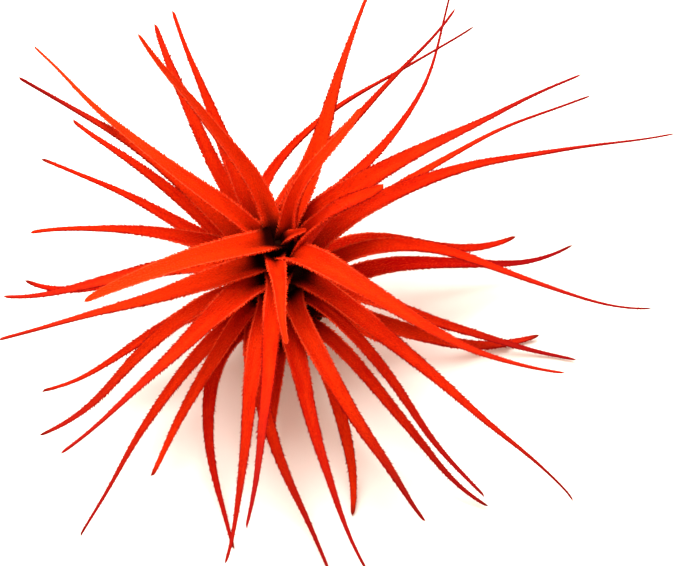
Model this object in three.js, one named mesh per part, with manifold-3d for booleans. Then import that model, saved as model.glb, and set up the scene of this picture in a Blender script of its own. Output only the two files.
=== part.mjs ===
// A red air plant: one tufted rosette of narrow channelled leaves on a short thick stem.
// Millimetres, +Z up. The origin is the middle of the flat rest spot under the stem, and the
// surface that the plant stands on is z = 0. The plant faces a viewer on the -Y side.

import * as THREE from 'three';
import { mergeVertices } from 'three/addons/utils/BufferGeometryUtils.js';
import Module from 'manifold-3d';

const wasm = await Module();
wasm.setup();

// Corners closer than this are one corner.
const WELD = 1e-4;

// Stem: a blunt column with a domed growing point, standing on a small flat spot.
const STEM_RADIUS = 6;
const STEM_TOP = 30;
const DOME_FOOT = 10;
const REST_RADIUS = 3.2;
const FOOT_RADIUS = 5.1;
const STEM_SIDES = 20;
const DOME_STEPS = 8;

// Phyllotaxis: the leaves leave the stem one golden angle apart, from the growing point down.
const GOLDEN_ANGLE = 137.508;
const FIRST_SEAT_BEARING = 200;
const LOWEST_SEAT = 6;
const SEAT_DEPTH_SHARE = 0.8;
const SEAT_GAP = 0.3;

// Leaf blade: narrow where it leaves the stem, full width a quarter of the way out, then drawn to a tip.
const INNER_ROOT_WIDTH = 1.6;
const OUTER_ROOT_WIDTH = 2.4;
const TIP_WIDTH = 0.6;
const WIDEST_AT = 0.25;
const RIB_THICKNESS = 1.0;
const EDGE_THICKNESS = 0.6;
const CHANNEL_DEPTH = 0.2;
const PATH_STEPS = 24;
const STEPS_PER_STATION = 2;

// Where the points of a leaf's section lie across it, from edge to edge.
const ACROSS = [-1, 0, 1];

// Old leaf bases: short dry scales left round the foot of the stem, and trimmed root stubs.
const SCALE_COUNT = 21;
const SCALE_LOW = 1.8;
const SCALE_HIGH = 4.6;
const SCALE_WIDTH = 3.2;
const SCALE_TOP_WIDTH_SHARE = 0.45;
const SCALE_LENGTH = 2.6;
const SCALE_THICKNESS = 0.8;
const SCALE_LEAN = 24;
const SCALE_SEAT_RADIUS = 5.7;
const ROOT_BEARINGS = [20, 96, 165, 238, 326];
const ROOT_RADIUS = 0.55;
const ROOT_START_REACH = 2.4;
const ROOT_BEND_REACH = 7.7;
const ROOT_END_REACH = 10.2;
const ROOT_SIDES = 6;
const ROOT_STEPS = 4;
const ROOT_SEAT_HEIGHT = 2.6;
const ROOT_END_HEIGHT = 0.8;

// One row for each leaf, innermost first. Angles are in degrees, the length and the width in mm.
// heading: the compass bearing that it leaves on, 0 = +X, 90 = +Y
// drift:   how far the heading has turned at the tip
// swerve:  a further turn that is greatest half way and gone at the tip
// rise:    its climb above level where it leaves the stem, then at the tip
// bow:     a further climb that is greatest half way and gone at the tip
// width:   its full width, a quarter of the way out
// taper:   the power of its draw to the tip: 1 is straight, more draws it in early, less keeps it broad
const LEAVES = [
  { heading: 221.5, drift: -21, swerve: -3, rise: [43, -22], bow: 9, length: 35, width: 4, taper: 0.7 },
  { heading: 345, drift: 10, swerve: 0, rise: [96, 30], bow: 0, length: 7.5, width: 2.4, taper: 0.9 },
  { heading: 102, drift: 51, swerve: 43, rise: [45, 62], bow: 11, length: 47, width: 3, taper: 1 },
  { heading: 274, drift: 0, swerve: 0, rise: [48, 28], bow: 0, length: 32, width: 2.7, taper: 1.2 },
  { heading: 77, drift: -4, swerve: -55, rise: [77, -7], bow: 36, length: 31.5, width: 3.2, taper: 0.9 },
  { heading: 178.5, drift: -57, swerve: -6, rise: [72, -19], bow: -11, length: 54.5, width: 3, taper: 2 },
  { heading: 308, drift: 49, swerve: -4, rise: [75, 0], bow: -43, length: 53, width: 4, taper: 1.7 },
  { heading: 42.5, drift: 18, swerve: 17, rise: [57, 30], bow: -2, length: 42, width: 3.9, taper: 1.7 },
  { heading: 227, drift: -26, swerve: -19, rise: [43, 4], bow: -27, length: 44.5, width: 3.6, taper: 2 },
  { heading: 3, drift: 13, swerve: -35, rise: [73, 40], bow: 11, length: 29.5, width: 4.4, taper: 0.6 },
  { heading: 114, drift: 0, swerve: 5, rise: [40, 32], bow: 5, length: 39.5, width: 3.5, taper: 1.8 },
  { heading: 264.5, drift: -5, swerve: 4, rise: [42, -13], bow: 1, length: 51, width: 3, taper: 1.2 },
  { heading: 14, drift: 0, swerve: 7, rise: [69, 27], bow: -27, length: 54.5, width: 4.2, taper: 2 },
  { heading: 147.5, drift: 38, swerve: -12, rise: [60, 56], bow: -27, length: 50, width: 3.7, taper: 1.8 },
  { heading: 318.5, drift: 39, swerve: -18, rise: [16, -74], bow: 20, length: 62.5, width: 3, taper: 2 },
  { heading: 94.5, drift: -40, swerve: -44, rise: [-28, 14], bow: 50, length: 51.5, width: 2.7, taper: 2 },
  { heading: 237, drift: -15, swerve: -4, rise: [61, 6], bow: -38, length: 46.5, width: 4.1, taper: 2 },
  { heading: 38, drift: -43, swerve: -6, rise: [34, 25], bow: -19, length: 63, width: 2.9, taper: 2 },
  { heading: 187.5, drift: 15, swerve: -19, rise: [47, 17], bow: -21, length: 37, width: 3.2, taper: 1.9 },
  { heading: 280.5, drift: 49, swerve: 5, rise: [36, -54], bow: -27, length: 48.5, width: 2.9, taper: 1 },
  { heading: 25.5, drift: 50, swerve: 8, rise: [74, 66], bow: -80, length: 57, width: 2, taper: 1.9 },
  { heading: 188.5, drift: -7, swerve: 13, rise: [73, 6], bow: -30, length: 44, width: 4, taper: 1.4 },
  { heading: 347, drift: -3, swerve: 14, rise: [-7, 6], bow: -33, length: 50, width: 2.4, taper: 1.1 },
  { heading: 129.5, drift: -16, swerve: -2, rise: [43, 30], bow: -6, length: 41, width: 2.5, taper: 0.7 },
  { heading: 252, drift: 2, swerve: 10, rise: [52, -10], bow: -48, length: 45.5, width: 3, taper: 1.5 },
  { heading: 36, drift: -17, swerve: 4, rise: [26, 3], bow: -10, length: 56, width: 1.9, taper: 2 },
  { heading: 132.5, drift: 5, swerve: 18, rise: [45, 3], bow: 10, length: 39, width: 2.8, taper: 1.2 },
  { heading: 307.5, drift: 2, swerve: 8, rise: [77, 10], bow: -80, length: 49, width: 2.1, taper: 1.1 },
  { heading: 143.5, drift: -95, swerve: -76, rise: [-25, -13], bow: 60, length: 60.5, width: 1.9, taper: 2 },
  { heading: 245, drift: -2, swerve: -8, rise: [59, -8], bow: -51, length: 35.5, width: 2.6, taper: 1.1 },
  { heading: 37, drift: -26, swerve: -51, rise: [35, -17], bow: 3, length: 59, width: 2.7, taper: 2 },
  { heading: 161, drift: 9, swerve: -12, rise: [35, 18], bow: -13, length: 39, width: 2.7, taper: 1.9 },
  { heading: 278, drift: 19, swerve: -2, rise: [63, -4], bow: -48, length: 48.5, width: 3.2, taper: 1.6 },
  { heading: 92, drift: -2, swerve: -21, rise: [-24, -2], bow: 15, length: 14, width: 3, taper: 1.2 },
  { heading: 211, drift: -4, swerve: 2, rise: [75, 8], bow: -80, length: 46, width: 2.7, taper: 1 },
  { heading: 13.5, drift: -12, swerve: -48, rise: [-1, 8], bow: -4, length: 17.5, width: 3, taper: 1.2 },
  { heading: 110, drift: 0, swerve: 0, rise: [0, -7], bow: 12, length: 27.5, width: 3, taper: 1.2 },
  { heading: 233.5, drift: 55, swerve: 34, rise: [74, 4], bow: -80, length: 50.5, width: 2.8, taper: 1.3 },
  { heading: 66, drift: -46, swerve: -40, rise: [32, 29], bow: -47, length: 39, width: 2.9, taper: 0.8 },
  { heading: 151.5, drift: 5, swerve: 45, rise: [59, 14], bow: -32, length: 39, width: 3.2, taper: 1 },
  { heading: 296, drift: -32, swerve: 12, rise: [64, -12], bow: -66, length: 37, width: 2.6, taper: 0.8 },
  { heading: 78, drift: 0, swerve: 0, rise: [1, -13], bow: 8, length: 20, width: 3, taper: 1.2 },
  { heading: 239.5, drift: 10, swerve: -19, rise: [78, 11], bow: -80, length: 51.5, width: 2.5, taper: 1.6 },
  { heading: 335, drift: 41, swerve: 6, rise: [30, 19], bow: -55, length: 42, width: 3, taper: 0.7 },
  { heading: 130, drift: 0, swerve: 0, rise: [-1, -42], bow: -2, length: 22, width: 3, taper: 1.2 },
  { heading: 268, drift: 0, swerve: 0, rise: [-4, -31], bow: -2, length: 17.5, width: 3, taper: 1.2 },
  { heading: 50, drift: 0, swerve: -4, rise: [-2, -33], bow: -1, length: 16, width: 3, taper: 1.2 },
  { heading: 203, drift: -14, swerve: 6, rise: [68, -12], bow: -52, length: 40.5, width: 3.1, taper: 1.9 },
  { heading: 308, drift: 23, swerve: -5, rise: [74, -12], bow: -58, length: 48, width: 2.3, taper: 1 },
  { heading: 98, drift: 0, swerve: 0, rise: [3, -25], bow: -9, length: 22, width: 3, taper: 1.2 },
  { heading: 202, drift: 86, swerve: 23, rise: [78, 3], bow: -72, length: 44, width: 2.7, taper: 1.4 },
  { heading: 22.5, drift: -3, swerve: -9, rise: [69, 23], bow: -66, length: 50, width: 3.1, taper: 1.2 },
];

// Surface colours, linear from the inner leaves to the outer ones.
const INNER_COLOUR = new THREE.Color(0xf0480c);
const OUTER_COLOUR = new THREE.Color(0xb81c06);
const STEM_COLOUR = new THREE.Color(0x6a4a34);
const LEAF_ROUGHNESS = 0.75;
const STEM_ROUGHNESS = 0.95;

const toRadians = THREE.MathUtils.degToRad;
const lerp = THREE.MathUtils.lerp;

// Booleans work on solids whose triangles share their corners.
function toSolid(geometry) {
  const bare = geometry.index ? geometry.toNonIndexed() : geometry.clone();
  bare.deleteAttribute('normal');
  bare.deleteAttribute('uv');
  const welded = mergeVertices(bare, WELD);
  return new wasm.Manifold(new wasm.Mesh({
    numProp: 3,
    vertProperties: new Float32Array(welded.attributes.position.array),
    triVerts: new Uint32Array(welded.index.array),
  }));
}

function toGeometry(solid) {
  const mesh = solid.getMesh();
  const corners = new Float32Array(mesh.numVert * 3);
  for (let vertex = 0; vertex < mesh.numVert; vertex += 1) {
    for (let axis = 0; axis < 3; axis += 1) {
      corners[vertex * 3 + axis] = mesh.vertProperties[vertex * mesh.numProp + axis];
    }
  }
  const geometry = new THREE.BufferGeometry();
  geometry.setAttribute('position', new THREE.BufferAttribute(corners, 3));
  geometry.setIndex(new THREE.BufferAttribute(new Uint32Array(mesh.triVerts), 1));
  geometry.computeVertexNormals();
  return geometry;
}

// Radius of the stem's dome at a height: a quarter ellipse above a plain column.
function stemRadiusAt(height) {
  const rise = Math.max(0, height - DOME_FOOT) / (STEM_TOP - DOME_FOOT);
  return STEM_RADIUS * Math.sqrt(Math.max(0, 1 - rise * rise));
}

// The stem's outline from its rest spot to its growing point, made larger all round by a margin.
function stemOutline(margin) {
  const foot = [
    new THREE.Vector2(0, -margin),
    new THREE.Vector2(REST_RADIUS + margin, -margin),
    new THREE.Vector2(FOOT_RADIUS + margin, SCALE_LOW),
    new THREE.Vector2(STEM_RADIUS + margin, LOWEST_SEAT - 1),
  ];
  const dome = [];
  for (let step = 0; step <= DOME_STEPS; step += 1) {
    const angle = (step / DOME_STEPS) * (Math.PI / 2);
    dome.push(new THREE.Vector2(
      step === DOME_STEPS ? 0 : (STEM_RADIUS + margin) * Math.cos(angle),
      DOME_FOOT + (STEM_TOP - DOME_FOOT + margin) * Math.sin(angle),
    ));
  }
  return [...foot, ...dome];
}

function stemBody(margin) {
  const lathe = new THREE.LatheGeometry(stemOutline(margin), STEM_SIDES);
  lathe.rotateX(Math.PI / 2);
  return toSolid(lathe);
}

// A dry scale: a small wedge that stands out of the stem and leans outwards.
function dryScale(index) {
  const share = index / (SCALE_COUNT - 1);
  const scale = new THREE.BoxGeometry(SCALE_THICKNESS, SCALE_WIDTH, SCALE_LENGTH);
  const corners = scale.attributes.position;
  for (let corner = 0; corner < corners.count; corner += 1) {
    const isTop = corners.getZ(corner) > 0;
    if (isTop) {
      corners.setY(corner, corners.getY(corner) * SCALE_TOP_WIDTH_SHARE);
    }
  }
  scale.rotateY(toRadians(SCALE_LEAN));
  scale.translate(SCALE_SEAT_RADIUS, 0, lerp(SCALE_HIGH, SCALE_LOW, share));
  scale.rotateZ(toRadians(FIRST_SEAT_BEARING + GOLDEN_ANGLE * index));
  return toSolid(scale);
}

// A trimmed root: a short stub that leaves the stem's foot and bends towards the surface.
function rootStub(bearing) {
  const angle = toRadians(bearing);
  const along = (reach, height) => new THREE.Vector3(
    reach * Math.cos(angle),
    reach * Math.sin(angle),
    height,
  );
  const path = new THREE.QuadraticBezierCurve3(
    along(ROOT_START_REACH, ROOT_SEAT_HEIGHT),
    along(ROOT_BEND_REACH, ROOT_SEAT_HEIGHT),
    along(ROOT_END_REACH, ROOT_END_HEIGHT),
  );
  const section = new THREE.Shape();
  for (let side = 0; side < ROOT_SIDES; side += 1) {
    const turn = (side / ROOT_SIDES) * 2 * Math.PI;
    const x = ROOT_RADIUS * Math.cos(turn);
    const y = ROOT_RADIUS * Math.sin(turn);
    if (side === 0) {
      section.moveTo(x, y);
    } else {
      section.lineTo(x, y);
    }
  }
  const options = { steps: ROOT_STEPS, extrudePath: path, bevelEnabled: false };
  return toSolid(new THREE.ExtrudeGeometry(section, options));
}

function stem() {
  let solid = stemBody(0);
  for (let index = 0; index < SCALE_COUNT; index += 1) {
    solid = solid.add(dryScale(index));
  }
  for (const bearing of ROOT_BEARINGS) {
    solid = solid.add(rootStub(bearing));
  }
  return solid;
}

// Where a leaf is seated: its turn of the spiral, a little inside the stem's skin.
function seat(index) {
  const height = STEM_TOP - ((index + 0.5) / LEAVES.length) * (STEM_TOP - LOWEST_SEAT);
  const bearing = toRadians(FIRST_SEAT_BEARING + GOLDEN_ANGLE * index);
  const reach = stemRadiusAt(height) * SEAT_DEPTH_SHARE;
  return new THREE.Vector3(reach * Math.cos(bearing), reach * Math.sin(bearing), height);
}

// The way a leaf points at a share of its length: along it, across it, and up out of its channel.
function directions(leaf, share) {
  const middle = 4 * share * (1 - share);
  const heading = toRadians(leaf.heading + leaf.drift * share + leaf.swerve * middle);
  const climb = toRadians(lerp(leaf.rise[0], leaf.rise[1], share) + leaf.bow * middle);
  return {
    along: new THREE.Vector3(
      Math.cos(climb) * Math.cos(heading),
      Math.cos(climb) * Math.sin(heading),
      Math.sin(climb),
    ),
    across: new THREE.Vector3(-Math.sin(heading), Math.cos(heading), 0),
    up: new THREE.Vector3(
      -Math.sin(climb) * Math.cos(heading),
      -Math.sin(climb) * Math.sin(heading),
      Math.cos(climb),
    ),
  };
}

function widthAt(leaf, share, index) {
  if (share < WIDEST_AT) {
    const root = lerp(INNER_ROOT_WIDTH, OUTER_ROOT_WIDTH, index / LEAVES.length);
    return lerp(root, leaf.width, share / WIDEST_AT);
  }
  const left = (1 - share) / (1 - WIDEST_AT);
  return TIP_WIDTH + (leaf.width - TIP_WIDTH) * left ** leaf.taper;
}

// The ring of points round a leaf's section: its channelled upper face, then its keeled lower one.
function sectionRing(leaf, index, share, centre) {
  const { across, up } = directions(leaf, share);
  const width = widthAt(leaf, share, index);
  const rib = lerp(RIB_THICKNESS, EDGE_THICKNESS, share);
  const ring = [];
  for (const side of [1, -1]) {
    const order = side === 1 ? ACROSS : [...ACROSS].reverse();
    for (const place of order) {
      const isEdge = Math.abs(place) === 1;
      const halfThickness = (isEdge ? EDGE_THICKNESS : rib) / 2;
      const lift = CHANNEL_DEPTH * width * place * place;
      ring.push(centre.clone()
        .addScaledVector(across, place * width / 2)
        .addScaledVector(up, lift + side * halfThickness));
    }
  }
  return ring;
}

// One leaf: sections lofted along its curved path and closed at both ends.
function leafBlade(leaf, index) {
  const rings = [];
  const place = seat(index);
  for (let step = 0; step <= PATH_STEPS; step += 1) {
    if (step % STEPS_PER_STATION === 0) {
      rings.push(sectionRing(leaf, index, step / PATH_STEPS, place));
    }
    const { along } = directions(leaf, (step + 0.5) / PATH_STEPS);
    place.addScaledVector(along, leaf.length / PATH_STEPS);
  }
  const corners = rings.flat();
  const sides = rings[0].length;
  const faces = [];
  for (let row = 0; row < rings.length - 1; row += 1) {
    for (let side = 0; side < sides; side += 1) {
      const here = row * sides + side;
      const beside = row * sides + ((side + 1) % sides);
      faces.push(here, here + sides, beside, beside, here + sides, beside + sides);
    }
  }
  const last = (rings.length - 1) * sides;
  const half = sides / 2;
  for (let side = 0; side < half - 1; side += 1) {
    const far = sides - 1 - side;
    faces.push(side, side + 1, far, side + 1, far - 1, far);
    faces.push(last + side, last + far, last + side + 1);
    faces.push(last + side + 1, last + far, last + far - 1);
  }
  const geometry = new THREE.BufferGeometry();
  geometry.setFromPoints(corners);
  geometry.setIndex(faces);
  return toSolid(geometry);
}

const plant = new THREE.Group();

function addPiece(name, solid, colour, roughness) {
  const material = new THREE.MeshStandardMaterial({ color: colour, roughness, metalness: 0 });
  const mesh = new THREE.Mesh(toGeometry(solid), material);
  mesh.name = name;
  plant.add(mesh);
}

addPiece('stem', stem(), STEM_COLOUR, STEM_ROUGHNESS);

// Each leaf's root is cut to the stem's skin, and a small gap is left between the two.
const stemClearance = stemBody(SEAT_GAP);
LEAVES.forEach((leaf, index) => {
  const name = `leaf_${String(index + 1).padStart(2, '0')}`;
  const colour = INNER_COLOUR.clone().lerp(OUTER_COLOUR, index / LEAVES.length);
  addPiece(name, leafBlade(leaf, index).subtract(stemClearance), colour, LEAF_ROUGHNESS);
});

export default plant;
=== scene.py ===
"""Looks of a red air plant: velvety channelled leaves on a short brown stem, on a white surface."""

import math
from collections import namedtuple

import bpy
import numpy as np
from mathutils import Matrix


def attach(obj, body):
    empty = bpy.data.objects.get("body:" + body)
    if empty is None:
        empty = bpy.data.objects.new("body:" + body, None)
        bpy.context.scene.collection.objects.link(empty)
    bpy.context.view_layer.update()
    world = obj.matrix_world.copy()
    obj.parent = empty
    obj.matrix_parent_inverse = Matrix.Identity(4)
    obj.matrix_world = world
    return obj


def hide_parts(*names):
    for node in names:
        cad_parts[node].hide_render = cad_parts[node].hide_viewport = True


MM = 0.001

# Photograph: its frame in pixels, and the camera that sees the plant as it does. The growing point
# is the middle of the crown, where a millimetre spans PIXELS_PER_MM.
PHOTO_WIDTH = 679
PHOTO_HEIGHT = 566
GROWING_POINT = (0, 0, 30)
GROWING_POINT_PIXEL = (278, 243)
PIXELS_PER_MM = 6.5
CAMERA_DISTANCE = 330
CAMERA_ELEVATION = 60
SENSOR_WIDTH = 36
CLIP_START = 10

# Stem, as the solid has it.
STEM_RADIUS = 6
STEM_TOP = 30
DOME_FOOT = 10
REST_RADIUS = 3.2
FOOT_RADIUS = 5.1
FOOT_HEIGHT = 1.8
LOWEST_SEAT = 6
FULL_RADIUS_HEIGHT = LOWEST_SEAT - 1

# Phyllotaxis: the leaves leave the stem one golden angle apart, from the growing point down.
GOLDEN_ANGLE = 137.508
FIRST_SEAT_BEARING = 200
SEAT_DEPTH_SHARE = 0.8

# Leaf blade. Its widths are those of the solids, but for a sheath that clasps the stem and a finer
# tip, which is drawn out most on a long leaf.
SHEATH_WIDTH = 6.6
SHEATH_END = 0.14
NECK_WIDTH_SHARE = 1.08
WIDEST_AT = 0.25
SHORT_LEAF = 35
SHORT_TIP_WIDTH = 0.6
LONG_LEAF = 65
LONG_TIP_WIDTH = 0.2
TIP_ROUNDING = 0.02
BASE_THICKNESS = 1.0
TIP_THICKNESS = 0.3
MOST_THICKNESS_SHARE = 0.75
RIM_THICKNESS = 0.1
BASE_CHANNEL = 0.42
TIP_CHANNEL = 0.1
CHANNEL_POWER = 1.15
SWELL_POWER = 2.4
SWELL_FULLNESS = 0.7
UPPER_SHARE = 0.28
TWIST = 14

# The blade's edges wobble sideways in two waves, each one radian longer for so many mm of leaf.
WOBBLE = 0.12
SHORT_WAVE = 3.1
LONG_WAVE = 5.3

# Leaf mesh: stations along the blade and points round it.
STATIONS = 84
ROUND = 20
PATH_STEPS = 240

# Trichomes: small flattened scales that cover the leaf and stand out at its rims. They are as near
# to each other as SCALE_PITCH, and smaller where the blade is narrow.
SCALE_PITCH = 0.33
GIRTH_SHARE = 2.2
FEWEST_IN_ROW = 4
TURN_JITTER = 0.7
ROW_JITTER = 0.8
SCALE_LENGTH = (0.2, 0.34)
SCALE_HALF_WIDTH = 0.06
SCALE_FOOT_SHARE = 0.3
NARROW_BLADE_SHARE = 0.35
SCALE_LEAN = (16, 38)
SCALE_SKEW = 0.3
RIM_POWER = 6
RIM_LEAN = 24
RIM_GROWTH = 0.35
RIM_BREADTH = 0.9
SCALE_SINK = 0.03
SCALE_FREE_TIP = 0.97
SHARE_STEP = 0.004
TURN_STEP = 0.02

# Where the blade and the trichomes lie on a leaf's map, and how large a trichome is there.
MAP_NAME = "OFBake"
MAP_EDGE = 0.01
BLADE_SPAN = 0.88
TRICHOME_START = 0.91
TRICHOME_SPAN = 0.08
TRICHOME_MAP_SIZE = 0.00221

# One row for each leaf, innermost first, as the solids have them. Degrees and mm.
# heading: the compass bearing that it leaves on, 0 = +X, 90 = +Y
# drift:   how far the heading has turned at the tip
# swerve:  a further turn that is greatest half way and gone at the tip
# rise:    its climb above level where it leaves the stem, then at the tip
# bow:     a further climb that is greatest half way and gone at the tip
# width:   its full width, a quarter of the way out
# taper:   the power of its draw to the tip: 1 is straight, more draws it in early, less keeps it broad
Leaf = namedtuple("Leaf", "heading drift swerve rise tip_rise bow length width taper")
LEAVES = [
    Leaf(221.5, -21, -3, 43, -22, 9, 35, 4, 0.7),
    Leaf(345, 10, 0, 96, 30, 0, 7.5, 2.4, 0.9),
    Leaf(102, 51, 43, 45, 62, 11, 47, 3, 1),
    Leaf(274, 0, 0, 48, 28, 0, 32, 2.7, 1.2),
    Leaf(77, -4, -55, 77, -7, 36, 31.5, 3.2, 0.9),
    Leaf(178.5, -57, -6, 72, -19, -11, 54.5, 3, 2),
    Leaf(308, 49, -4, 75, 0, -43, 53, 4, 1.7),
    Leaf(42.5, 18, 17, 57, 30, -2, 42, 3.9, 1.7),
    Leaf(227, -26, -19, 43, 4, -27, 44.5, 3.6, 2),
    Leaf(3, 13, -35, 73, 40, 11, 29.5, 4.4, 0.6),
    Leaf(114, 0, 5, 40, 32, 5, 39.5, 3.5, 1.8),
    Leaf(264.5, -5, 4, 42, -13, 1, 51, 3, 1.2),
    Leaf(14, 0, 7, 69, 27, -27, 54.5, 4.2, 2),
    Leaf(147.5, 38, -12, 60, 56, -27, 50, 3.7, 1.8),
    Leaf(318.5, 39, -18, 16, -74, 20, 62.5, 3, 2),
    Leaf(94.5, -40, -44, -28, 14, 50, 51.5, 2.7, 2),
    Leaf(237, -15, -4, 61, 6, -38, 46.5, 4.1, 2),
    Leaf(38, -43, -6, 34, 25, -19, 63, 2.9, 2),
    Leaf(187.5, 15, -19, 47, 17, -21, 37, 3.2, 1.9),
    Leaf(280.5, 49, 5, 36, -54, -27, 48.5, 2.9, 1),
    Leaf(25.5, 50, 8, 74, 66, -80, 57, 2, 1.9),
    Leaf(188.5, -7, 13, 73, 6, -30, 44, 4, 1.4),
    Leaf(347, -3, 14, -7, 6, -33, 50, 2.4, 1.1),
    Leaf(129.5, -16, -2, 43, 30, -6, 41, 2.5, 0.7),
    Leaf(252, 2, 10, 52, -10, -48, 45.5, 3, 1.5),
    Leaf(36, -17, 4, 26, 3, -10, 56, 1.9, 2),
    Leaf(132.5, 5, 18, 45, 3, 10, 39, 2.8, 1.2),
    Leaf(307.5, 2, 8, 77, 10, -80, 49, 2.1, 1.1),
    Leaf(143.5, -95, -76, -25, -13, 60, 60.5, 1.9, 2),
    Leaf(245, -2, -8, 59, -8, -51, 35.5, 2.6, 1.1),
    Leaf(37, -26, -51, 35, -17, 3, 59, 2.7, 2),
    Leaf(161, 9, -12, 35, 18, -13, 39, 2.7, 1.9),
    Leaf(278, 19, -2, 63, -4, -48, 48.5, 3.2, 1.6),
    Leaf(92, -2, -21, -24, -2, 15, 14, 3, 1.2),
    Leaf(211, -4, 2, 75, 8, -80, 46, 2.7, 1),
    Leaf(13.5, -12, -48, -1, 8, -4, 17.5, 3, 1.2),
    Leaf(110, 0, 0, 0, -7, 12, 27.5, 3, 1.2),
    Leaf(233.5, 55, 34, 74, 4, -80, 50.5, 2.8, 1.3),
    Leaf(66, -46, -40, 32, 29, -47, 39, 2.9, 0.8),
    Leaf(151.5, 5, 45, 59, 14, -32, 39, 3.2, 1),
    Leaf(296, -32, 12, 64, -12, -66, 37, 2.6, 0.8),
    Leaf(78, 0, 0, 1, -13, 8, 20, 3, 1.2),
    Leaf(239.5, 10, -19, 78, 11, -80, 51.5, 2.5, 1.6),
    Leaf(335, 41, 6, 30, 19, -55, 42, 3, 0.7),
    Leaf(130, 0, 0, -1, -42, -2, 22, 3, 1.2),
    Leaf(268, 0, 0, -4, -31, -2, 17.5, 3, 1.2),
    Leaf(50, 0, -4, -2, -33, -1, 16, 3, 1.2),
    Leaf(203, -14, 6, 68, -12, -52, 40.5, 3.1, 1.9),
    Leaf(308, 23, -5, 74, -12, -58, 48, 2.3, 1),
    Leaf(98, 0, 0, 3, -25, -9, 22, 3, 1.2),
    Leaf(202, 86, 23, 78, 3, -72, 44, 2.7, 1.4),
    Leaf(22.5, -3, -9, 69, 23, -66, 50, 3.1, 1.2),
]


def lerp(start, end, share):
    return start + (end - start) * share


def unit(vectors):
    return vectors / np.maximum(np.linalg.norm(vectors, axis=-1, keepdims=True), 1e-12)


# Radius of the stem's dome at a height: a quarter ellipse above a plain column.
def stem_radius_at(height):
    rise = max(0, height - DOME_FOOT) / (STEM_TOP - DOME_FOOT)
    return STEM_RADIUS * math.sqrt(max(0, 1 - rise * rise))


# Where a leaf is seated: its turn of the spiral, a little inside the stem's skin.
def seat(index):
    height = STEM_TOP - (index + 0.5) / len(LEAVES) * (STEM_TOP - LOWEST_SEAT)
    bearing = math.radians(FIRST_SEAT_BEARING + GOLDEN_ANGLE * index)
    reach = stem_radius_at(height) * SEAT_DEPTH_SHARE
    return np.array([reach * math.cos(bearing), reach * math.sin(bearing), height])


# The way a leaf points at shares of its length: along it, across it, and up out of its channel.
def directions(leaf, share):
    middle = 4 * share * (1 - share)
    heading = np.radians(leaf.heading + leaf.drift * share + leaf.swerve * middle)
    climb = np.radians(lerp(leaf.rise, leaf.tip_rise, share) + leaf.bow * middle)
    along = np.stack([np.cos(climb) * np.cos(heading), np.cos(climb) * np.sin(heading), np.sin(climb)], -1)
    across = np.stack([-np.sin(heading), np.cos(heading), np.zeros_like(heading)], -1)
    return along, across, np.cross(along, across)


class Blade:
    """One leaf's surface: a point of it for each share of its length and each turn round its section."""

    def __init__(self, leaf, index):
        self.leaf = leaf
        self.age = index / len(LEAVES)
        self.random = np.random.default_rng(index + 1)
        self.twist = math.radians(TWIST) * self.random.uniform(-1, 1)
        self.wobble_phase = self.random.uniform(0, 2 * math.pi, 2)
        self.tone_draw = self.random.uniform(-1, 1)
        middles = (np.arange(PATH_STEPS) + 0.5) / PATH_STEPS
        steps = directions(leaf, middles)[0] * leaf.length / PATH_STEPS
        self.path = np.vstack([seat(index), seat(index) + np.cumsum(steps, 0)])
        self.path_shares = np.linspace(0, 1, PATH_STEPS + 1)

    def centre(self, share):
        return np.stack([np.interp(share, self.path_shares, self.path[:, axis]) for axis in range(3)], -1)

    def width(self, share):
        full = self.leaf.width
        blade = full * lerp(NECK_WIDTH_SHARE, 1, np.minimum(share / WIDEST_AT, 1))
        sheath = np.clip(1 - share / SHEATH_END, 0, 1) ** 2
        clasp = min(1, math.hypot(*self.path[0][:2]) / (STEM_RADIUS * SEAT_DEPTH_SHARE))
        base = lerp(blade, lerp(full, SHEATH_WIDTH, clasp), sheath)
        left = np.clip((1 - share) / (1 - WIDEST_AT), 0, 1)
        long = np.clip((self.leaf.length - SHORT_LEAF) / (LONG_LEAF - SHORT_LEAF), 0, 1)
        tip = lerp(SHORT_TIP_WIDTH, LONG_TIP_WIDTH, long)
        drawn = tip + (full - tip) * left**self.leaf.taper
        rounding = np.sqrt(np.clip((1 - share) / TIP_ROUNDING, 0, 1))
        return np.where(share < WIDEST_AT, base, drawn) * rounding

    def surface(self, share, turn):
        share = np.clip(share, 0, 1)
        along, level, steep = directions(self.leaf, share)
        twist = (self.twist * share**2)[..., None]
        across = level * np.cos(twist) + steep * np.sin(twist)
        up = steep * np.cos(twist) - level * np.sin(twist)
        width = self.width(share)
        place = np.cos(turn)
        channel = lerp(BASE_CHANNEL, TIP_CHANNEL, share) * width * np.abs(place) ** CHANNEL_POWER
        thickness = np.minimum(lerp(BASE_THICKNESS, TIP_THICKNESS, share), MOST_THICKNESS_SHARE * width)
        swell = thickness * (1 - np.abs(place) ** SWELL_POWER) ** SWELL_FULLNESS
        rim = np.minimum(RIM_THICKNESS, thickness / 2) * np.sqrt(np.clip(1 - place**2, 0, 1))
        is_upper = np.sin(turn) >= 0
        height = channel + np.where(is_upper, UPPER_SHARE * swell + rim, (UPPER_SHARE - 1) * swell - rim)
        run = self.leaf.length * share
        short_wave = np.sin(run / SHORT_WAVE + self.wobble_phase[0])
        long_wave = np.sin(run / LONG_WAVE + self.wobble_phase[1])
        sideways = place * width / 2 + WOBBLE * (short_wave + long_wave) * share
        return self.centre(share) + across * sideways[..., None] + up * height[..., None]


def map_across(share):
    return MAP_EDGE + BLADE_SPAN * share


def map_along(share):
    return MAP_EDGE + (1 - 2 * MAP_EDGE) * share


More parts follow.
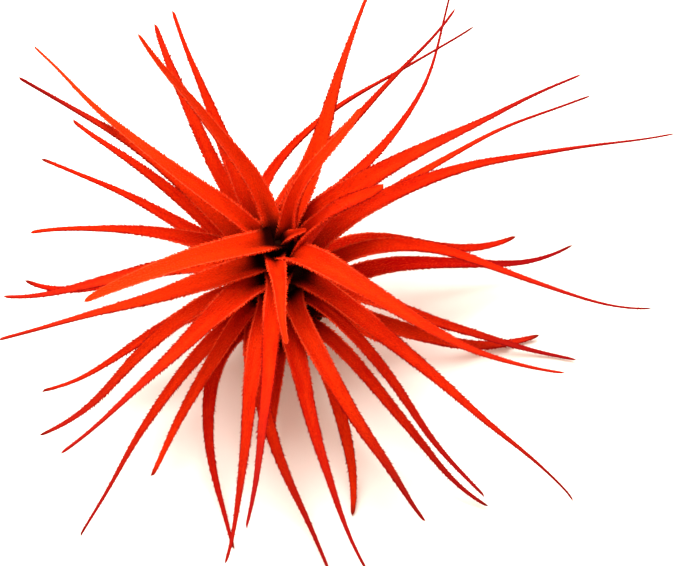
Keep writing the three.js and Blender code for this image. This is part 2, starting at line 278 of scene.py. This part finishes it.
# The faces of a grid of points, closed round its second way where wrapped.
def grid_faces(rows, columns, first, wrapped):
    faces = []
    span = columns if wrapped else columns - 1
    for row in range(rows - 1):
        for column in range(span):
            beside = (column + 1) % columns
            here = first + row * columns
            above = here + columns
            faces.append((here + column, here + beside, above + beside, above + column))
    return faces


# The blade's own mesh: rings of points along it, closed at the base and drawn to a point at the tip.
def blade_mesh(blade):
    shares = np.linspace(0, 1, STATIONS + 1)[:-1]
    turns = np.arange(ROUND) * 2 * math.pi / ROUND
    share, turn = np.meshgrid(shares, turns, indexing="ij")
    points = blade.surface(share.ravel(), turn.ravel())
    tip = blade.centre(np.array([1.0]))
    faces = grid_faces(STATIONS, ROUND, 0, True)
    maps = []
    for row in range(STATIONS - 1):
        low, high = map_along(shares[row]), map_along(shares[row + 1])
        for column in range(ROUND):
            left, right = map_across(column / ROUND), map_across((column + 1) / ROUND)
            maps += [(left, low), (right, low), (right, high), (left, high)]
    last = (STATIONS - 1) * ROUND
    low = map_along(shares[-1])
    for column in range(ROUND):
        faces.append((last + column, last + (column + 1) % ROUND, STATIONS * ROUND))
        left, right = map_across(column / ROUND), map_across((column + 1) / ROUND)
        maps += [(left, low), (right, low), ((left + right) / 2, map_along(1))]
    faces.append(tuple(range(ROUND - 1, -1, -1)))
    maps += [(map_across(column / ROUND), map_along(0)) for column in range(ROUND - 1, -1, -1)]
    return np.vstack([points, tip]), faces, maps


# Where the trichomes sit: rows along the blade, with as many in a row as its girth takes.
def trichome_seats(blade):
    shares = []
    turns = []
    rows = int(blade.leaf.length / SCALE_PITCH)
    for row in range(rows):
        share = (row + 0.5) / rows
        girth = GIRTH_SHARE * float(blade.width(np.array(share)))
        count = max(FEWEST_IN_ROW, round(girth / SCALE_PITCH))
        jitter = blade.random.uniform(-0.5, 0.5, (2, count))
        turns.append((np.arange(count) + row % 2 / 2 + TURN_JITTER * jitter[0]) * 2 * math.pi / count)
        shares.append(share + ROW_JITTER * jitter[1] / rows)
    share = np.concatenate(shares)
    turn = np.concatenate(turns)
    kept = share < SCALE_FREE_TIP
    return share[kept], turn[kept]


# The trichomes' mesh: each is a thin four-sided scale that points up the leaf and leans off it.
def trichome_mesh(blade, first):
    share, turn = trichome_seats(blade)
    place = blade.surface(share, turn)
    along = unit(blade.surface(share + SHARE_STEP, turn) - blade.surface(share - SHARE_STEP, turn))
    around = unit(blade.surface(share, turn + TURN_STEP) - blade.surface(share, turn - TURN_STEP))
    out = unit(np.cross(around, along))
    count = len(share)
    rim = np.abs(np.cos(turn)) ** RIM_POWER
    size = blade.random.uniform(*SCALE_LENGTH, count) * (1 + RIM_GROWTH * rim)
    size = size * np.minimum(1, NARROW_BLADE_SHARE + blade.width(share) / 2)
    lean = np.radians(blade.random.uniform(*SCALE_LEAN, count) + RIM_LEAN * rim)
    skew = blade.random.uniform(-SCALE_SKEW, SCALE_SKEW, count)
    size, lean, skew = size[:, None], lean[:, None], skew[:, None]
    breadth = SCALE_HALF_WIDTH * (1 + RIM_BREADTH * rim[:, None])
    side = around * breadth * np.minimum(1, size / SCALE_LENGTH[0])
    foot = place - out * SCALE_SINK
    foot_length = along * size * SCALE_FOOT_SHARE
    corners = np.stack([
        foot - side - foot_length,
        foot + side - foot_length,
        foot + foot_length,
        place + along * size * np.cos(lean) + out * size * np.sin(lean) + around * size * skew,
    ], 1)
    start = first + 4 * np.arange(count)[:, None]
    triangles = np.array([[0, 1, 3], [1, 2, 3], [2, 0, 3], [1, 0, 2]])
    faces = (start[:, None] + triangles[None]).reshape(-1, 3)
    low = map_along(share)[:, None]
    offsets = TRICHOME_MAP_SIZE * np.array([[0, 0], [1, 0], [0.5, 0.4], [0.5, 1]])
    across = TRICHOME_START + TRICHOME_SPAN * ((turn / (2 * math.pi)) % 1)[:, None]
    spots = np.stack([across + offsets[:, 0], np.minimum(low + offsets[:, 1], 1)], -1)
    maps = spots[:, triangles].reshape(-1, 2)
    return corners.reshape(-1, 3), faces, maps


# One piece from its points in mm and its faces, with its map where it has one.
def make_object(name, points, faces, smooth, maps=None):
    mesh = bpy.data.meshes.new(name)
    mesh.from_pydata((points * MM).tolist(), [], faces)
    if maps is not None:
        mesh.uv_layers.new(name=MAP_NAME).uv.foreach_set("vector", np.asarray(maps, np.float32).ravel())
    mesh.polygons.foreach_set("use_smooth", np.asarray(smooth, bool))
    mesh.update()
    made = bpy.data.objects.new(name, mesh)
    bpy.context.scene.collection.objects.link(made)
    return made


def leaf_object(leaf, index, material):
    blade = Blade(leaf, index)
    points, faces, maps = blade_mesh(blade)
    scale_points, scale_faces, scale_maps = trichome_mesh(blade, len(points))
    name = f"leaf_{index + 1:02d}"
    made = make_object(
        f"velvet_{name}",
        np.vstack([points, scale_points]),
        faces + scale_faces.tolist(),
        [True] * len(faces) + [False] * len(scale_faces),
        np.vstack([maps, scale_maps]),
    )
    made.data.materials.append(material)
    made["seed"] = float(index)
    made["age"] = blade.age
    made["tone"] = YOUNG_TONE + (OLD_TONE - YOUNG_TONE) * blade.age + TONE_SPREAD * blade.tone_draw
    made["length"] = float(leaf.length)
    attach(made, "root")
    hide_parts(name)


# Node helpers: each makes one node of a material and links or sets its inputs by name or number.
class Nodes:
    def __init__(self, name):
        self.material = bpy.data.materials.new(name)
        self.material.use_nodes = True
        self.tree = self.material.node_tree
        self.shader = self.tree.nodes["Principled BSDF"]

    def set(self, made, inputs):
        for key, value in inputs.items():
            socket = made.inputs[key]
            if isinstance(value, bpy.types.NodeSocket):
                self.tree.links.new(value, socket)
            else:
                socket.default_value = value
        return made

    def add(self, kind, inputs, **settings):
        made = self.tree.nodes.new(kind)
        for key, value in settings.items():
            setattr(made, key, value)
        return self.set(made, inputs)

    def math(self, operation, *values, clamp=False):
        inputs = dict(enumerate(values))
        return self.add("ShaderNodeMath", inputs, operation=operation, use_clamp=clamp).outputs[0]

    # All the values multiplied together.
    def times(self, first, *others):
        product = first
        for value in others:
            product = self.math("MULTIPLY", product, value)
        return product

    # A value times a share, with something added.
    def scaled(self, value, share, added):
        return self.math("MULTIPLY_ADD", value, share, added)

    # Smooth from 0 at the first limit to 1 at the second, and flat beyond them.
    def step(self, value, limits):
        inputs = {"Value": value, "From Min": limits[0], "From Max": limits[1]}
        return self.add("ShaderNodeMapRange", inputs, interpolation_type="SMOOTHSTEP").outputs[0]

    def mix(self, share, first, second):
        made = self.add("ShaderNodeMix", {}, data_type="RGBA")
        return self.set(made, {0: share, 6: first, 7: second}).outputs[2]

    def own(self, name):
        made = self.add("ShaderNodeAttribute", {}, attribute_type="OBJECT", attribute_name=name)
        return made.outputs["Fac"]

    def combine(self, x, y, z):
        return self.add("ShaderNodeCombineXYZ", {0: x, 1: y, 2: z}).outputs[0]

    def noise(self, vector, scale, detail):
        inputs = {"Vector": vector, "Scale": scale, "Detail": detail}
        return self.add("ShaderNodeTexNoise", inputs).outputs["Fac"]

    def bump(self, height, strength, distance):
        inputs = {"Height": height, "Strength": strength, "Distance": distance * MM}
        return self.add("ShaderNodeBump", inputs).outputs[0]

    def finish(self, colour, roughness, normal, specular):
        self.set(self.shader, {
            "Base Color": colour,
            "Roughness": roughness,
            "Normal": normal,
            "Specular IOR Level": specular,
        })
        return self.material


# A leaf's tone: 0 is all red and 1 all orange, young leaves more orange than old ones. Its channel,
# streaks and patches add to the tone, and LEAST_WARMTH takes some of that away again.
YOUNG_TONE = 0.58
OLD_TONE = -0.06
TONE_SPREAD = 0.26
CHANNEL_WARMTH = 0.2
STREAK_WARMTH = 0.8
PATCH_WARMTH = 0.9
LEAST_WARMTH = -0.55

LEAF_RED = (0.47, 0.0035, 0.0005, 1)
LEAF_ORANGE = (0.70, 0.040, 0.002, 1)
LEAF_DEEP = (0.22, 0.002, 0.0005, 1)
# The next colour is a painted highlight on the rims, where the scales catch the light.
LEAF_RIM_HIGHLIGHT = (0.92, 0.15, 0.06, 1)
# The next colour is partly a darker sheath and partly painted shade of the crown.
LEAF_BASE_AND_SHADE = (0.03, 0.002, 0.001, 1)
# The next colour is painted shade in the leaf's channel near the stem.
LEAF_CHANNEL_SHADE = (0.08, 0.002, 0.001, 1)
LEAF_TIP = (0.16, 0.010, 0.006, 1)
LEAF_THREAD = (0.25, 0.005, 0.010, 1)
TRICHOME_LIGHT = (0.92, 0.07, 0.01, 1)
TRICHOME_DARK = (0.26, 0.004, 0.003, 1)

# Patterns on a leaf: how often each repeats across its map, and in each mm along it.
STREAK_GRAIN = (60, 0.12)
PATCH_GRAIN = (8, 0.3)
FINE_GRAIN = (90, 2.2)
HAIR_GRAIN = (700, 2.5)
VELVET_GRAIN = (40, 1)
VELVET_SCALE = 3.2

# Where a leaf's colours begin and are full. Depths go in from the rim, which is 0, to the middle
# line, which is 1. Reaches are mm from the base, parts are shares of the length, and age is 0 for
# the youngest leaf and 1 for the oldest. UNDERSIDE and HAIR_RIM_TURN are turns round the blade, and
# DARK_FINES and PALE_HAIRS are strengths of their patterns.
QUARTER_TURN = 0.25
CHANNEL_DEPTH = (0.45, 1)
UNDERSIDE = (0.49, 0.51)
DARK_FINES = (0.42, 0.7)
DARK_FINES_SHARE = 0.35
UNDERSIDE_SHARE = 0.3
GROWN_AGE = (0.1, 0.13)
OUTER_REACH = (12, 24)
# How strong the painted rim highlight is near the crown, and how deep it reaches in from the rim.
CROWN_RIM_HIGHLIGHT = 0.7
RIM_HIGHLIGHT_DEPTH = (0.36, 0.2)
DARK_EDGE_DEPTH = (0.4, 0.1)
DARK_EDGE_SHARE = 0.6
PALE_HAIRS = (0.4, 0.6)
HAIR_RIM_TURN = (0.1, 0.04)
HAIR_SHARE = 0.8
LONG_LEAF_LENGTH = (36, 50)
REDDENED_PART = (0.42, 0.95)
REDDENED_SHARE = 0.85
BROWN_PART = (0.92, 1)
BROWN_AGE = (0.35, 0.6)
# The next four set the painted shade in the channel near the stem: its reach, and its strength on young and
# old leaves.
CHANNEL_SHADE_REACH = (11, 3)
YOUNG_AGE = (0.45, 0.2)
YOUNG_CHANNEL_SHADE_SHARE = 0.45
CHANNEL_SHADE_SHARE = 0.2
# Reach of the darker base and its painted shade.
BASE_AND_SHADE_REACH = (5, 2)

LEAF_ROUGHNESS = 0.58
LEAF_ROUGHNESS_SPREAD = 0.25
LEAF_BUMP = 0.35
LEAF_BUMP_HEIGHT = 0.12
STREAK_RELIEF = 0.8
VELVET_RELIEF = 0.5
LEAF_SPECULAR = 0.05


class LeafNodes(Nodes):
    """The leaf's material nodes, with the places on a leaf that its colours go by."""

    def __init__(self, name):
        super().__init__(name)
        spot = self.add("ShaderNodeUVMap", {}, uv_map=MAP_NAME).outputs[0]
        parts = self.add("ShaderNodeSeparateXYZ", {0: spot})
        self.across, self.along = parts.outputs[0], parts.outputs[1]
        self.seed = self.own("seed")
        self.age = self.own("age")
        self.length = self.own("length")
        self.out = self.times(self.along, self.length)
        rim_to_middle = BLADE_SPAN * QUARTER_TURN
        folded = self.math("PINGPONG", self.math("SUBTRACT", self.across, MAP_EDGE), rim_to_middle)
        self.inward = self.math("DIVIDE", folded, rim_to_middle)
        self.is_under = self.step(self.across, [map_across(share) for share in UNDERSIDE])
        is_upper = self.math("SUBTRACT", 1, self.is_under)
        self.channel = self.times(self.step(self.inward, CHANNEL_DEPTH), is_upper)
        self.is_grown = self.step(self.age, GROWN_AGE)
        self.far_out = self.times(self.step(self.out, OUTER_REACH), self.is_grown)
        self.streaks = self.noise(self.spread(STREAK_GRAIN), 1, 3)
        self.fine = self.noise(self.spread(FINE_GRAIN), 1, 2)

    # The leaf's map stretched to a grain, and different for each leaf.
    def spread(self, grain):
        return self.combine(self.times(self.across, grain[0]), self.times(self.out, grain[1]), self.seed)


# Red to orange in long soft streaks, most orange in the channel, with fine darker marks.
def blade_colour(nodes):
    patches = nodes.noise(nodes.spread(PATCH_GRAIN), 1, 2)
    warmth = nodes.scaled(patches, PATCH_WARMTH, LEAST_WARMTH)
    warmth = nodes.scaled(nodes.channel, CHANNEL_WARMTH, warmth)
    warmth = nodes.scaled(nodes.streaks, STREAK_WARMTH, warmth)
    warmth = nodes.math("ADD", warmth, nodes.own("tone"), clamp=True)
    colour = nodes.mix(warmth, LEAF_RED, LEAF_ORANGE)
    return nodes.mix(nodes.times(nodes.step(nodes.fine, DARK_FINES), DARK_FINES_SHARE), colour, LEAF_DEEP)


# A painted highlight on the rims near the crown, rims dark further out on grown leaves, and a deeper
# underside.
def edge_colour(nodes, colour):
    rim_highlight = nodes.math("SUBTRACT", CROWN_RIM_HIGHLIGHT, nodes.far_out, clamp=True)
    colour = nodes.mix(nodes.times(nodes.step(nodes.inward, RIM_HIGHLIGHT_DEPTH), rim_highlight), colour, LEAF_RIM_HIGHLIGHT)
    darkness = nodes.times(nodes.step(nodes.inward, DARK_EDGE_DEPTH), nodes.far_out, DARK_EDGE_SHARE)
    colour = nodes.mix(darkness, colour, LEAF_THREAD)
    return nodes.mix(nodes.times(nodes.is_under, UNDERSIDE_SHARE), colour, LEAF_DEEP)


# Trichomes the colour of the blade or lighter, and dark at the rims where the rims are dark.
def trichome_colour(nodes, colour):
    is_trichome = nodes.math("GREATER_THAN", nodes.across, TRICHOME_START - MAP_EDGE)
    is_pale = nodes.step(nodes.noise(nodes.spread(HAIR_GRAIN), 1, 0), PALE_HAIRS)
    turn = nodes.math("DIVIDE", nodes.math("SUBTRACT", nodes.across, TRICHOME_START), TRICHOME_SPAN)
    inward = nodes.math("PINGPONG", turn, QUARTER_TURN)
    hairs = nodes.mix(is_pale, colour, TRICHOME_LIGHT)
    hairs = nodes.mix(nodes.times(nodes.step(inward, HAIR_RIM_TURN), nodes.far_out), hairs, TRICHOME_DARK)
    return nodes.mix(nodes.times(is_trichome, HAIR_SHARE), colour, hairs)


# A crimson outer half on long leaves, brown tips on old ones, painted shade in the channel near the stem,
# and a base that is partly a darker sheath and partly painted shade of the crown.
def age_colour(nodes, colour):
    is_long = nodes.step(nodes.length, LONG_LEAF_LENGTH)
    reddening = nodes.times(nodes.step(nodes.along, REDDENED_PART), is_long, nodes.is_grown, REDDENED_SHARE)
    colour = nodes.mix(reddening, colour, LEAF_THREAD)
    browning = nodes.times(nodes.step(nodes.along, BROWN_PART), nodes.step(nodes.age, BROWN_AGE))
    colour = nodes.mix(browning, colour, LEAF_TIP)
    # Painted shade in the channel near the stem, stronger on young leaves.
    depth = nodes.scaled(nodes.step(nodes.age, YOUNG_AGE), YOUNG_CHANNEL_SHADE_SHARE, CHANNEL_SHADE_SHARE)
    channel_shade = nodes.times(nodes.channel, nodes.step(nodes.out, CHANNEL_SHADE_REACH), depth)
    colour = nodes.mix(channel_shade, colour, LEAF_CHANNEL_SHADE)
    # A darker leaf base, deepened with painted shade of the crown.
    return nodes.mix(nodes.step(nodes.out, BASE_AND_SHADE_REACH), colour, LEAF_BASE_AND_SHADE)


# The leaf's finish, drawn on its own map: the colours above, a matt skin and fine relief.
def leaf_material():
    nodes = LeafNodes("leaf_velvet")
    colour = age_colour(nodes, trichome_colour(nodes, edge_colour(nodes, blade_colour(nodes))))
    cells = {"Vector": nodes.spread(VELVET_GRAIN), "Scale": VELVET_SCALE}
    velvet = nodes.add("ShaderNodeTexVoronoi", cells).outputs["Distance"]
    relief = nodes.scaled(nodes.streaks, STREAK_RELIEF, nodes.times(velvet, VELVET_RELIEF))
    normal = nodes.bump(relief, LEAF_BUMP, LEAF_BUMP_HEIGHT)
    roughness = nodes.scaled(nodes.fine, LEAF_ROUGHNESS_SPREAD, LEAF_ROUGHNESS)
    return nodes.finish(colour, roughness, normal, LEAF_SPECULAR)


# Stem column: its mesh, and the soft waves and scars that roughen it.
STEM_SEED = 7
STEM_SIDES = 72
STEM_ROWS = 46
ROW_SPACING_POWER = 0.8
STEM_WAVES = 6
WAVE_LEAST_FOLDS = 2
WAVE_CLIMB = 1.1
WAVE_CLIMB_STEP = 0.7
SCAR_FOLDS = 4
SCAR_CLIMB = 2.4
SCAR_SHARPNESS = 3
SCAR_ROUGHNESS = 0.16
STEM_SINK = 0.05
BARE_RADIUS = 0.5
LEAST_RADIUS = 0.01
MIDDLE_SHARE = 0.02

# Dry leaf bases at the stem's foot. Pairs are the limits of a random draw.
FLAP_COUNT = 46
FLAP_TURN_JITTER = 8
FLAP_TOP = 4.6
FLAP_LOW = 1.0
FLAP_LENGTH = 3.4
FLAP_LENGTH_SHARE = (0.6, 1)
FLAP_WIDTH = 3.0
FLAP_WIDTH_SHARE = (0.7, 1.1)
FLAP_LEAN = 26
FLAP_LEAN_SHARE = (0.5, 1.3)
FLAP_THICKNESS = 0.16
FLAP_SINK = 0.2
FLAP_NARROWING = 0.85
FLAP_NARROWING_POWER = 1.6
FLAP_CURL_POWER = 1.3
FLAP_RISE = 0.8
FLAP_RAGGEDNESS = 0.12
FLAP_TEETH = 7
FLAP_ROWS = 7
FLAP_COLUMNS = 6

# Trimmed roots.
ROOT_BEARINGS = [20, 96, 165, 238, 326]
ROOT_START_REACH = 2.4
ROOT_BEND_REACH = 7.7
ROOT_END_REACH = 10.2
ROOT_SEAT_HEIGHT = 2.6
ROOT_END_HEIGHT = 0.8
ROOT_RADIUS = 0.5
ROOT_KNOBS = (0.75, 1)
ROOT_TIP_SHARE = 0.6
ROOT_RINGS = 22
ROOT_SIDES = 9


# Radius of the stem's outline at a height: a pinched foot, a widening column and the dome.
def outline_radius(height):
    if height < FOOT_HEIGHT:
        return lerp(REST_RADIUS, FOOT_RADIUS, height / FOOT_HEIGHT)
    if height < FULL_RADIUS_HEIGHT:
        return lerp(FOOT_RADIUS, STEM_RADIUS, (height - FOOT_HEIGHT) / (FULL_RADIUS_HEIGHT - FOOT_HEIGHT))
    return stem_radius_at(height)


# How the stem's skin stands out at a turn and a height: soft waves, less the scars of fallen leaves.
def skin_relief(turn, height, phases):
    waves = 0
    for index, phase in enumerate(phases):
        climb = (index * WAVE_CLIMB_STEP + WAVE_CLIMB) * height
        waves += math.sin((index + WAVE_LEAST_FOLDS) * turn + climb + phase)
    scar = abs(math.sin(turn * SCAR_FOLDS + height * SCAR_CLIMB)) ** SCAR_SHARPNESS
    relief = SCAR_ROUGHNESS * (waves / STEM_WAVES - scar) * min(1, height / FOOT_HEIGHT)
    return relief - STEM_SINK


# The stem's column: its outline turned round, with a roughened skin and a closed foot and top.
def stem_column(random):
    heights = np.concatenate([[0, 0], np.linspace(0, 1, STEM_ROWS - 2) ** ROW_SPACING_POWER * STEM_TOP])
    phases = random.uniform(0, 2 * math.pi, STEM_WAVES)
    points = []
    for row, height in enumerate(heights):
        radius = outline_radius(height) * (MIDDLE_SHARE if row == 0 else 1)
        for side in range(STEM_SIDES):
            turn = side / STEM_SIDES * 2 * math.pi
            relief = skin_relief(turn, height, phases) if radius > BARE_RADIUS else 0
            reach = max(LEAST_RADIUS, radius + relief)
            points.append((reach * math.cos(turn), reach * math.sin(turn), height))
    faces = grid_faces(len(heights), STEM_SIDES, 0, True)
    faces.append(tuple(range(STEM_SIDES - 1, -1, -1)))
    top = (len(heights) - 1) * STEM_SIDES
    faces.append(tuple(range(top, top + STEM_SIDES)))
    return np.array(points), faces


# A dry leaf base: a thin curled flap that hugs the stem's foot and tears off in a ragged point.
def dry_flap(index, random, first):
    share = index / (FLAP_COUNT - 1)
    jitter = random.uniform(-FLAP_TURN_JITTER, FLAP_TURN_JITTER)
    turn = math.radians(FIRST_SEAT_BEARING + GOLDEN_ANGLE * index + jitter)
    low = lerp(FLAP_TOP, FLAP_LOW, share)
    length = FLAP_LENGTH * random.uniform(*FLAP_LENGTH_SHARE)
    width = FLAP_WIDTH * random.uniform(*FLAP_WIDTH_SHARE)
    lean = math.radians(FLAP_LEAN * random.uniform(*FLAP_LEAN_SHARE))
    radius = lerp(STEM_RADIUS, FOOT_RADIUS, share) - FLAP_SINK
    points = []
    for face in (1, -1):
        for row in range(FLAP_ROWS):
            out = row / (FLAP_ROWS - 1)
            half = (1 - FLAP_NARROWING * out**FLAP_NARROWING_POWER) * width / 2
            for column in range(FLAP_COLUMNS):
                place = column / (FLAP_COLUMNS - 1) * 2 - 1
                ragged = FLAP_RAGGEDNESS * math.sin(FLAP_TEETH * place + index) * out
                curl = math.sin(lean) * length * out**FLAP_CURL_POWER
                reach = radius + curl + face * FLAP_THICKNESS / 2
                bearing = turn + place * half / max(reach, 1)
                height = low + math.cos(lean) * length * (out + ragged) * FLAP_RISE
                points.append((reach * math.cos(bearing), reach * math.sin(bearing), height))
    size = FLAP_ROWS * FLAP_COLUMNS
    outer = grid_faces(FLAP_ROWS, FLAP_COLUMNS, first, False)
    inner = [tuple(reversed(face)) for face in grid_faces(FLAP_ROWS, FLAP_COLUMNS, first + size, False)]
    border = [(0, column) for column in range(FLAP_COLUMNS)]
    border += [(row, FLAP_COLUMNS - 1) for row in range(1, FLAP_ROWS)]
    border += [(FLAP_ROWS - 1, column) for column in range(FLAP_COLUMNS - 2, -1, -1)]
    border += [(row, 0) for row in range(FLAP_ROWS - 2, 0, -1)]
    ring = [first + row * FLAP_COLUMNS + column for row, column in border]
    rim = []
    for here, after in zip(ring, ring[1:] + ring[:1]):
        rim.append((after, here, here + size, after + size))
    return np.array(points), outer + inner + rim


# A trimmed root: a knobbly wire that leaves the stem's foot and bends towards the surface.
def root_stub(bearing, random, first):
    turn = math.radians(bearing)
    share = np.linspace(0, 1, ROOT_RINGS)[:, None]
    reach = np.array([ROOT_START_REACH, ROOT_BEND_REACH, ROOT_END_REACH])
    height = np.array([ROOT_SEAT_HEIGHT, ROOT_SEAT_HEIGHT, ROOT_END_HEIGHT])
    weights = np.hstack([(1 - share) ** 2, 2 * share * (1 - share), share**2])
    out = weights @ reach
    up = weights @ height
    points = []
    for ring in range(ROOT_RINGS):
        radius = ROOT_RADIUS * random.uniform(*ROOT_KNOBS) * lerp(1, ROOT_TIP_SHARE, ring / ROOT_RINGS)
        for side in range(ROOT_SIDES):
            angle = side / ROOT_SIDES * 2 * math.pi
            sideways = radius * math.cos(angle)
            x = out[ring] * math.cos(turn) - sideways * math.sin(turn)
            y = out[ring] * math.sin(turn) + sideways * math.cos(turn)
            points.append((x, y, up[ring] + radius * math.sin(angle)))
    faces = grid_faces(ROOT_RINGS, ROOT_SIDES, first, True)
    end = first + (ROOT_RINGS - 1) * ROOT_SIDES
    faces.append(tuple(range(first + ROOT_SIDES - 1, first - 1, -1)))
    faces.append(tuple(range(end, end + ROOT_SIDES)))
    return np.array(points), faces


def stem_object(material):
    random = np.random.default_rng(STEM_SEED)
    points, faces = stem_column(random)
    for index in range(FLAP_COUNT):
        more_points, more_faces = dry_flap(index, random, len(points))
        points = np.vstack([points, more_points])
        faces += more_faces
    for bearing in ROOT_BEARINGS:
        more_points, more_faces = root_stub(bearing, random, len(points))
        points = np.vstack([points, more_points])
        faces += more_faces
    made = make_object("rooted_stem", points, faces, [True] * len(faces))
    made.data.materials.append(material)
    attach(made, "root")
    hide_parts("stem")


STEM_BROWN = (0.14, 0.06, 0.025, 1)
STEM_PALE = (0.38, 0.22, 0.11, 1)
STEM_DARK = (0.03, 0.012, 0.006, 1)
# The next colour is painted shade among the leaves and in the crown.
STEM_SHADE = (0.02, 0.004, 0.001, 1)
FIBRE_STRETCH = (1, 1, 0.18)
FIBRE_SCALE = 2600
PALE_FIBRES = (0.4, 0.65)
BLOTCH_SCALE = 420
DARK_BLOTCHES = (0.5, 0.68)
LOW_SHADE_HEIGHT = (3 * MM, 8 * MM)
LOW_SHADE_SHARE = 0.65
CROWN_SHADE_HEIGHT = (16 * MM, 26 * MM)
CROWN_SHADE_SHARE = 0.35
STEM_ROUGHNESS = 0.65
STEM_ROUGHNESS_SPREAD = 0.3
STEM_BUMP = 0.6
STEM_BUMP_HEIGHT = 0.15
STEM_SPECULAR = 0.08


# The stem's finish: dry brown tissue with pale fibres along it and dark blotches, and painted shade, near
# black, among the leaves, most of all in the crown.
def stem_material():
    nodes = Nodes("stem_bark")
    place = nodes.add("ShaderNodeTexCoord", {}).outputs["Object"]
    stretched = nodes.add("ShaderNodeMapping", {"Vector": place, "Scale": FIBRE_STRETCH}).outputs[0]
    fibres = nodes.noise(stretched, FIBRE_SCALE, 4)
    blotches = nodes.noise(place, BLOTCH_SCALE, 3)
    colour = nodes.mix(nodes.step(fibres, PALE_FIBRES), STEM_BROWN, STEM_PALE)
    colour = nodes.mix(nodes.step(blotches, DARK_BLOTCHES), colour, STEM_DARK)
    height = nodes.add("ShaderNodeSeparateXYZ", {0: place}).outputs[2]
    crown = nodes.times(nodes.step(height, CROWN_SHADE_HEIGHT), CROWN_SHADE_SHARE)
    shade = nodes.scaled(nodes.step(height, LOW_SHADE_HEIGHT), LOW_SHADE_SHARE, crown)
    colour = nodes.mix(shade, colour, STEM_SHADE)
    normal = nodes.bump(fibres, STEM_BUMP, STEM_BUMP_HEIGHT)
    roughness = nodes.scaled(blotches, STEM_ROUGHNESS_SPREAD, STEM_ROUGHNESS)
    return nodes.finish(colour, roughness, normal, STEM_SPECULAR)


# Surface, lights and what they aim at, in metres.
FLOOR_SIZE = 3.0
FLOOR_WHITE = (0.98, 0.92, 0.89, 1)
FLOOR_ROUGHNESS = 0.45
FLOOR_SPECULAR = 0.25
SKY_COLOUR = (1, 0.85, 0.70, 1)
SKY_STRENGTH = 0.85
KEY_PLACE = (-0.1, 0.15, 0.61)
KEY_SIZE = 0.5
KEY_POWER = 5.1
KEY_COLOUR = (1, 0.98, 0.95)
PLANT_MIDDLE = (0, 0, 0.02)


def white_floor():
    mesh = bpy.data.meshes.new("white_surface")
    half = FLOOR_SIZE / 2
    corners = [(-half, -half, 0), (half, -half, 0), (half, half, 0), (-half, half, 0)]
    mesh.from_pydata(corners, [], [(0, 1, 2, 3)])
    floor = bpy.data.objects.new("white_surface", mesh)
    bpy.context.scene.collection.objects.link(floor)
    nodes = Nodes("white_surface")
    nodes.set(nodes.shader, {
        "Base Color": FLOOR_WHITE,
        "Roughness": FLOOR_ROUGHNESS,
        "Specular IOR Level": FLOOR_SPECULAR,
    })
    mesh.materials.append(nodes.material)


# The key light: a soft disk high above the plant, a little behind it, that looks at its middle.
def key_light():
    light = bpy.data.lights.new("key", "AREA")
    light.shape = "DISK"
    light.size = KEY_SIZE
    light.energy = KEY_POWER
    light.color = KEY_COLOUR
    made = bpy.data.objects.new("key", light)
    bpy.context.scene.collection.objects.link(made)
    made.location = KEY_PLACE
    aim = np.array(PLANT_MIDDLE) - np.array(KEY_PLACE)
    tilt = math.acos(-aim[2] / np.linalg.norm(aim))
    made.rotation_euler = (tilt, 0, math.atan2(-aim[0], aim[1]))


def pale_sky():
    world = bpy.data.worlds.new("studio")
    world.use_nodes = True
    background = world.node_tree.nodes["Background"]
    background.inputs["Color"].default_value = SKY_COLOUR
    background.inputs["Strength"].default_value = SKY_STRENGTH
    bpy.context.scene.world = world


def aim_camera():
    camera = bpy.data.cameras.new("photograph")
    camera.sensor_width = SENSOR_WIDTH
    camera.lens = PIXELS_PER_MM * CAMERA_DISTANCE * SENSOR_WIDTH / PHOTO_WIDTH
    camera.shift_x = (PHOTO_WIDTH / 2 - GROWING_POINT_PIXEL[0]) / PHOTO_WIDTH
    camera.shift_y = (GROWING_POINT_PIXEL[1] - PHOTO_HEIGHT / 2) / PHOTO_WIDTH
    camera.clip_start = CLIP_START * MM
    made = bpy.data.objects.new("photograph", camera)
    bpy.context.scene.collection.objects.link(made)
    elevation = math.radians(CAMERA_ELEVATION)
    back = np.array([0, -math.cos(elevation), math.sin(elevation)]) * CAMERA_DISTANCE
    made.location = (np.array(GROWING_POINT) + back) * MM
    made.rotation_euler = (math.radians(90) - elevation, 0, 0)
    bpy.context.scene.camera = made


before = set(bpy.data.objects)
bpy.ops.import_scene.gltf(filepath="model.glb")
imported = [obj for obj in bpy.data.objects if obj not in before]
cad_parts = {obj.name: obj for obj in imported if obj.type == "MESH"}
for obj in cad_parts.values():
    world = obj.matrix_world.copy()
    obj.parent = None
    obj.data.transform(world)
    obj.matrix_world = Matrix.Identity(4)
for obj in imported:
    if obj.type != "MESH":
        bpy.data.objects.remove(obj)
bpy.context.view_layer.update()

aim_camera()
pale_sky()
key_light()
white_floor()
stem_object(stem_material())
velvet = leaf_material()
for index, leaf in enumerate(LEAVES):
    leaf_object(leaf, index, velvet)

bpy.context.scene.view_settings.view_transform = "Standard"
bpy.context.scene.view_settings.look = "Medium High Contrast"
